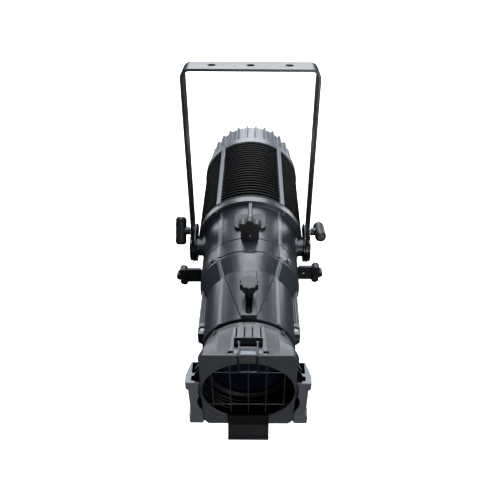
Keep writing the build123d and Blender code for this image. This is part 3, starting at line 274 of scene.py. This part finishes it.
def bump(tree, shader, height, depth):
    """Surface relief of a depth in metres."""
    node = tree.nodes.new("ShaderNodeBump")
    node.inputs["Distance"].default_value = depth
    tree.links.new(height, node.inputs["Height"])
    tree.links.new(node.outputs["Normal"], shader.inputs["Normal"])


def edge_highlight_mask(tree):
    """Share that rises to 1 along sharp edges, from how far a rounded normal leaves the true one; it
    places the painted edge highlight.
    """
    rounded = tree.nodes.new("ShaderNodeBevel")
    rounded.samples = 4
    rounded.inputs["Radius"].default_value = EDGE_REACH
    true = tree.nodes.new("ShaderNodeNewGeometry")
    dot = tree.nodes.new("ShaderNodeVectorMath")
    dot.operation = "DOT_PRODUCT"
    tree.links.new(rounded.outputs["Normal"], dot.inputs[0])
    tree.links.new(true.outputs["Normal"], dot.inputs[1])
    return spread(tree, dot.outputs["Value"], 1.0, 0.0, EDGE_FULL, EDGE_NONE)


def painted(name, color, roughness, grain=1400.0, relief=0.00006, edge=None, shine=0.5):
    """Sprayed paint: slow colour drift, orange peel, uneven gloss and, where given, paler edges that
    are a painted highlight.
    """
    material, tree, shader = new_material(name, color, roughness, shine=shine)
    drift = spread(tree, noise(tree, PAINT_DRIFT), 0.0, 1.0)
    shade = mixed(tree, drift, scaled(color, 1 - PAINT_VARIATION), scaled(color, 1 + PAINT_VARIATION))
    # Where an edge colour is given, sharp edges take it as a painted highlight, standing in for the
    # light they catch.
    if edge:
        shade = mixed(tree, edge_highlight_mask(tree), shade, edge)
    tree.links.new(shade, shader.inputs["Base Color"])
    gloss = spread(tree, noise(tree, PAINT_GLOSS), roughness - 0.04, roughness + 0.06)
    tree.links.new(gloss, shader.inputs["Roughness"])
    bump(tree, shader, noise(tree, grain, 2.0), relief)
    return material


def metal(name, color, roughness, stretch=(1.0, 1.0, 1.0), streak=700.0, relief=0.00002):
    """Bare or plated metal with fine tooling streaks along one axis."""
    material, tree, shader = new_material(name, color, roughness, metallic=1.0)
    streaks = noise(tree, streak, 3.0, stretch)
    drift = spread(tree, noise(tree, METAL_DRIFT), 0.0, 1.0)
    tree.links.new(mixed(tree, drift, scaled(color, 0.8), color), shader.inputs["Base Color"])
    gloss = spread(tree, streaks, max(roughness - 0.06, 0.0), roughness + 0.12)
    tree.links.new(gloss, shader.inputs["Roughness"])
    bump(tree, shader, streaks, relief)
    return material


def moulded(name, color, roughness, grain=2600.0, relief=0.00005, shine=0.5):
    """Plastic with the fine spark texture of its mould."""
    material, tree, shader = new_material(name, color, roughness, shine=shine)
    speck = noise(tree, grain, 2.0)
    drift = spread(tree, noise(tree, PLASTIC_DRIFT), 0.0, 1.0)
    tree.links.new(mixed(tree, drift, color, scaled(color, 1.35)), shader.inputs["Base Color"])
    tree.links.new(spread(tree, speck, roughness - 0.05, roughness + 0.08), shader.inputs["Roughness"])
    bump(tree, shader, speck, relief)
    return material


def coated_glass():
    """Deep lens glass in front of a dark tube, with a blue-violet coating and a trace of dust."""
    material, tree, shader = new_material("lens_glass", (0.002, 0.0025, 0.006), 0.05, shine=0.35)
    shader.inputs["Specular Tint"].default_value = (0.45, 0.52, 1.0, 1.0)
    dust = spread(tree, noise(tree, LENS_DUST, 6.0), 0.03, 0.08, 0.45, 0.8)
    tree.links.new(dust, shader.inputs["Roughness"])
    return material


def phosphor():
    """Grid of small yellow emitters on a pale base."""
    material, tree, shader = new_material("led_phosphor", (0.85, 0.72, 0.22), 0.35)
    cells = tree.nodes.new("ShaderNodeTexVoronoi")
    cells.inputs["Scale"].default_value = EMITTERS
    place = tree.nodes.new("ShaderNodeTexCoord")
    tree.links.new(place.outputs["Object"], cells.inputs["Vector"])
    share = spread(tree, cells.outputs["Distance"], 0.0, 1.0, 0.2, 0.6)
    shade = mixed(tree, share, (0.85, 0.70, 0.18), (0.55, 0.50, 0.35))
    tree.links.new(shade, shader.inputs["Base Color"])
    return material


# What each material looks like, by its name, as the makers above take it.
PAINTS = {
    # Each edge colour below is a painted highlight that lightens sharp edges.
    "slate_paint": {"color": (0.020, 0.0235, 0.029), "roughness": 0.31, "edge": (0.10, 0.11, 0.125)},
    # The rib crests' paint is the slate paint made lighter, a painted highlight standing in for the
    # light the crests catch.
    "rib_paint": {"color": (0.10, 0.108, 0.12), "roughness": 0.36, "edge": (0.20, 0.21, 0.23)},
    # Near-black matt paint: the clip bracket's own black, and painted shade inside the hood's bore and
    # channels.
    "lining_black": {"color": (0.0003, 0.0003, 0.0004), "roughness": 0.80, "shine": 0.04},
    "holder_paint": {"color": (0.062, 0.065, 0.071), "roughness": 0.34, "edge": (0.15, 0.155, 0.165)},
    "plate_paint": {"color": (0.028, 0.029, 0.030), "roughness": 0.46, "relief": 0.00009},
    "black_paint": {"color": (0.0025, 0.0025, 0.003), "roughness": 0.30, "grain": 2200.0},
    "pale_cast": {"color": (0.070, 0.078, 0.093), "roughness": 0.36, "edge": (0.17, 0.185, 0.21)},
    "black_fins": {"color": (0.0015, 0.0015, 0.002), "roughness": 0.55, "grain": 900.0, "shine": 0.15},
    "dark_tube": {"color": (0.004, 0.004, 0.005), "roughness": 0.50, "shine": 0.25},
    "cover_paint": {"color": (0.010, 0.0115, 0.014), "roughness": 0.42, "shine": 0.25},
    "ring_black": {"color": (0.006, 0.007, 0.010), "roughness": 0.32, "shine": 0.35},
    "tab_paint": {"color": (0.003, 0.003, 0.0032), "roughness": 0.55, "shine": 0.12},
}
METALS = {
    "steel": {"color": (0.55, 0.56, 0.58), "roughness": 0.30, "stretch": (1.0, 1.0, 12.0)},
    "dark_steel": {"color": (0.14, 0.14, 0.15), "roughness": 0.34},
    "spring_wire": {"color": (0.10, 0.10, 0.11), "roughness": 0.34, "relief": 0.0},
    "spring_plate": {
        "color": (0.12, 0.125, 0.135),
        "roughness": 0.48,
        "stretch": (6.0, 1.0, 1.0),
        "relief": 0.0,
    },
    "guard_wire": {"color": (0.10, 0.10, 0.11), "roughness": 0.48, "relief": 0.0},
    "reflector_mirror": {"color": (0.90, 0.90, 0.90), "roughness": 0.08, "streak": 200.0},
    "socket_metal": {"color": (0.50, 0.51, 0.52), "roughness": 0.32, "stretch": (1.0, 6.0, 1.0)},
}
PLASTICS = {
    "black_plastic": {"color": (0.004, 0.004, 0.0045), "roughness": 0.40, "shine": 0.40},
    "brake_lining": {"color": (0.05, 0.045, 0.04), "roughness": 0.85, "grain": 900.0, "relief": 0.0002},
    "board_green": {"color": (0.02, 0.11, 0.05), "roughness": 0.35, "grain": 700.0},
    "panel_grey": {"color": (0.028, 0.029, 0.032), "roughness": 0.50},
    "display_dark": {"color": (0.006, 0.008, 0.012), "roughness": 0.10, "grain": 100.0, "relief": 0.0},
    "button_grey": {"color": (0.05, 0.052, 0.056), "roughness": 0.55},
    "socket_black": {"color": (0.015, 0.015, 0.017), "roughness": 0.42},
}


def make_materials():
    """Every material by its name."""
    made = {"lens_glass": coated_glass(), "led_phosphor": phosphor()}
    for maker, looks in ((painted, PAINTS), (metal, METALS), (moulded, PLASTICS)):
        for name, look in looks.items():
            made[name] = maker(name, **look)
    return made


# ---------------------------------------------------------------- pieces that stand for CAD nodes
# Edges of the CAD copies: vertices nearer than this are one, and faces that bend less are one face.
WELD = 0.000003
FLAT = math.radians(0.4)
CREASE = 22.0


def add_piece(name, mesh, body, material):
    """Puts a mesh in the scene as a piece of the lamp."""
    piece = bpy.data.objects.new(name, mesh)
    bpy.context.scene.collection.objects.link(piece)
    mesh.materials.clear()
    mesh.materials.append(material)
    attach(piece, body)
    return piece


def soften(name, material, edge, crease, inside, inner):
    """Copy of a CAD node with its edges sharper than the crease angle rounded, shown in its place.

    Where there is an inner material, the faces that the inside test picks get it.
    """
    mesh = nodes[name].data.copy()
    work = bmesh.new()
    work.from_mesh(mesh)
    bmesh.ops.remove_doubles(work, verts=work.verts, dist=WELD)
    bmesh.ops.dissolve_limit(work, angle_limit=FLAT, verts=work.verts, edges=work.edges)
    picked = [bool(inner) and inside(face) for face in work.faces]
    for face in work.faces:
        face.smooth = True
    for line in work.edges:
        line.smooth = len(line.link_faces) != 2 or line.calc_face_angle(0.0) < math.radians(crease)
    work.to_mesh(mesh)
    work.free()
    if "custom_normal" in mesh.attributes:
        mesh.attributes.remove(mesh.attributes["custom_normal"])
    piece = add_piece(f"{name}_shell", mesh, nodes[name]["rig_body"], material)
    if inner:
        mesh.materials.append(inner)
        for polygon, is_picked in zip(mesh.polygons, picked):
            polygon.material_index = int(is_picked)
    bevel = piece.modifiers.new("edge", "BEVEL")
    bevel.width = edge
    bevel.segments = 2
    bevel.limit_method = "ANGLE"
    bevel.angle_limit = math.radians(crease)
    bevel.use_clamp_overlap = False
    bevel.miter_outer = "MITER_ARC"
    weighted = piece.modifiers.new("weighted", "WEIGHTED_NORMAL")
    weighted.keep_sharp = True
    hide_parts(name)


# ---------------------------------------------------------------- faces with a finish of their own, a painted highlight or painted shade
# The hood's bore starts this far ahead of the pivot; its reach from the axis and what lies inside it.
BORE_START = 0.24
BORE_REACH = 0.0665
BORE_INSIDE = 0.0635
SIDEWAYS = 0.5
CHANNEL_MARGIN = 0.0009

RIB_ANGLES = (37.0, -37.0, 143.0, -143.0)
RIB_HALF_ANGLE = math.radians(2.4)
RIB_TURN = math.radians(1.2)
RIB_SLOPE = 0.6

# A rivet's head is a small flat face across the lamp's axis, with many corners.
RIVET_FACING = 0.99
RIVET_AREA = 0.00001
RIVET_SIDES = 8


def inside_box(spot, box, margin):
    """Whether a point lies in a box that is grown by a margin."""
    return all(box[0][axis] - margin <= spot[axis] <= box[1][axis] + margin for axis in range(3))


def in_bore_or_channel(face):
    """Whether a face of the accessory holder lines its bore or one of its channels, where the painted
    shade goes.
    """
    spot = face.calc_center_median()
    from_axis = Vector((spot.x - PIVOT.x, 0, spot.z - PIVOT.z))
    facing_in = face.normal.dot(from_axis) < 0 and abs(face.normal.y) < SIDEWAYS
    if PIVOT.y - spot.y > BORE_START and from_axis.length < BORE_REACH:
        if facing_in or from_axis.length < BORE_INSIDE:
            return True
    return any(inside_box(spot, box, CHANNEL_MARGIN) for box in channel_boxes)


def on_rib_crest(face):
    """Whether a face is the flat crest of a rib that runs along the lamp, where the painted rib
    highlight goes.
    """
    spot = face.calc_center_median() - PIVOT
    for angle in RIB_ANGLES:
        out = outward(angle)
        across = Vector((face.normal.x, 0, face.normal.z))
        near = Vector((spot.x, 0, spot.z)).angle(out) < RIB_HALF_ANGLE
        if near and abs(face.normal.y) < RIB_SLOPE and across.angle(out) < RIB_TURN:
            return True
    return False


def on_rivet(face):
    """Whether a face is the small round head of a shutter handle's rivet."""
    facing = abs(face.normal.y) > RIVET_FACING
    return facing and face.calc_area() < RIVET_AREA and len(face.verts) > RIVET_SIDES


# ---------------------------------------------------------------- finish of each node
# Nodes whose edges show, with the radius of those edges in metres.
SOFT_EDGES = {
    "accessory_holder": 0.0006,
    "yoke": 0.0006,
    "rear_housing": 0.0006,
    "slot_cover": 0.0007,
    "gate_ring": 0.0005,
    "barrel_top": 0.0006,
    "barrel_bottom": 0.0006,
    "front_plate": 0.0005,
    "front_tab": 0.0005,
    "heat_sink": 0.0003,
    "rear_cap": 0.0005,
    "rear_ring": 0.0006,
    "sink_bars": 0.0005,
    "focus_knob": 0.0006,
    "shutter_handle_top": 0.0010,
    "shutter_handle_left": 0.0010,
    "shutter_handle_bottom": 0.0010,
    "shutter_handle_right": 0.0010,
    "lock_handle_left": 0.0003,
    "lock_handle_right": 0.0003,
    "pivot_bolts": 0.0006,
    "clip_bracket": 0.0004,
    "control_panel": 0.0003,
    "clip_spring": 0.0002,
    "tilt_plates": 0.0003,
    "lock_nuts": 0.0003,
}
CREASES = {"accessory_holder": 12.0}

# Nodes whose finish differs from the material slot in the record.
FINISHES = {
    "accessory_holder": "holder_paint",
    "front_plate": "plate_paint",
    "front_tab": "tab_paint",
    "slot_cover": "cover_paint",
    "clip_bracket": "lining_black",
    "guard": "guard_wire",
    "clip_spring": "spring_plate",
}

# Nodes with a second finish: the test that picks its faces, and the material.
SECOND_FINISHES = {
    # The hood's bore and channels are painted near-black, a painted shade standing in for their deep
    # shadow.
    "accessory_holder": (in_bore_or_channel, "lining_black"),
    # The rib crests get a lighter copy of their paint, a painted highlight.
    "rear_housing": (on_rib_crest, "rib_paint"),
    "gate_ring": (on_rib_crest, "rib_paint"),
    "barrel_top": (on_rib_crest, "rib_paint"),
    "shutter_handle_top": (on_rivet, "steel"),
    "shutter_handle_left": (on_rivet, "steel"),
    "shutter_handle_bottom": (on_rivet, "steel"),
    "shutter_handle_right": (on_rivet, "steel"),
}


def dress_nodes(materials):
    """Gives every CAD node its finish, as a softened copy where its edges show."""
    for name, node in nodes.items():
        material = materials[FINISHES.get(name, slots[name])]
        if name in SOFT_EDGES:
            inside, second = SECOND_FINISHES.get(name, (None, None))
            crease = CREASES.get(name, CREASE)
            soften(name, material, SOFT_EDGES[name], crease, inside, materials.get(second))
        else:
            for slot in node.material_slots:
                slot.link = "OBJECT"
                slot.material = material


# ---------------------------------------------------------------- rings against stray light
# Sizes in millimetres; a ring's middle lies on the wall, so half of its thickness stands proud.
RING_STEPS = 96
RING_SIDES = 8
RING_THICKNESS = 1.2
WEB_FRONT = 262.0
WEB_RINGS = (52.0, 55.0, 58.0)
HOOD_BORE = 63.0
BORE_RINGS = (267.0, 272.0, 277.0, 282.0)


def add_ring(name, owner, station, radius, material):
    """Round ring about the lamp's axis that rides with a CAD node."""
    mesh = bpy.data.meshes.new(name)
    work = bmesh.new()
    rows = []
    for step in range(RING_STEPS):
        out = outward(360.0 * step / RING_STEPS)
        centre = at(station) + out * radius * MM
        turns = [math.tau * side / RING_SIDES for side in range(RING_SIDES)]
        spokes = [out * math.cos(turn) + FORWARD * math.sin(turn) for turn in turns]
        rows.append([work.verts.new(centre + spoke * RING_THICKNESS / 2 * MM) for spoke in spokes])
    for step, row in enumerate(rows):
        after = rows[(step + 1) % RING_STEPS]
        for side in range(RING_SIDES):
            nearby = (side + 1) % RING_SIDES
            work.faces.new((row[side], after[side], after[nearby], row[nearby])).smooth = True
    bmesh.ops.recalc_face_normals(work, faces=work.faces)
    work.to_mesh(mesh)
    work.free()
    add_piece(name, mesh, nodes[owner]["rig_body"], material)


def add_baffles(material):
    """Fine black rings on the front web and along the hood's bore."""
    for radius in WEB_RINGS:
        add_ring(f"web_ring_{radius:.0f}", "accessory_holder", WEB_FRONT, radius, material)
    for station in BORE_RINGS:
        add_ring(f"bore_ring_{station:.0f}", "accessory_holder", station, HOOD_BORE, material)


make_camera()
make_studio()
materials = make_materials()
dress_nodes(materials)
add_baffles(materials["ring_black"])
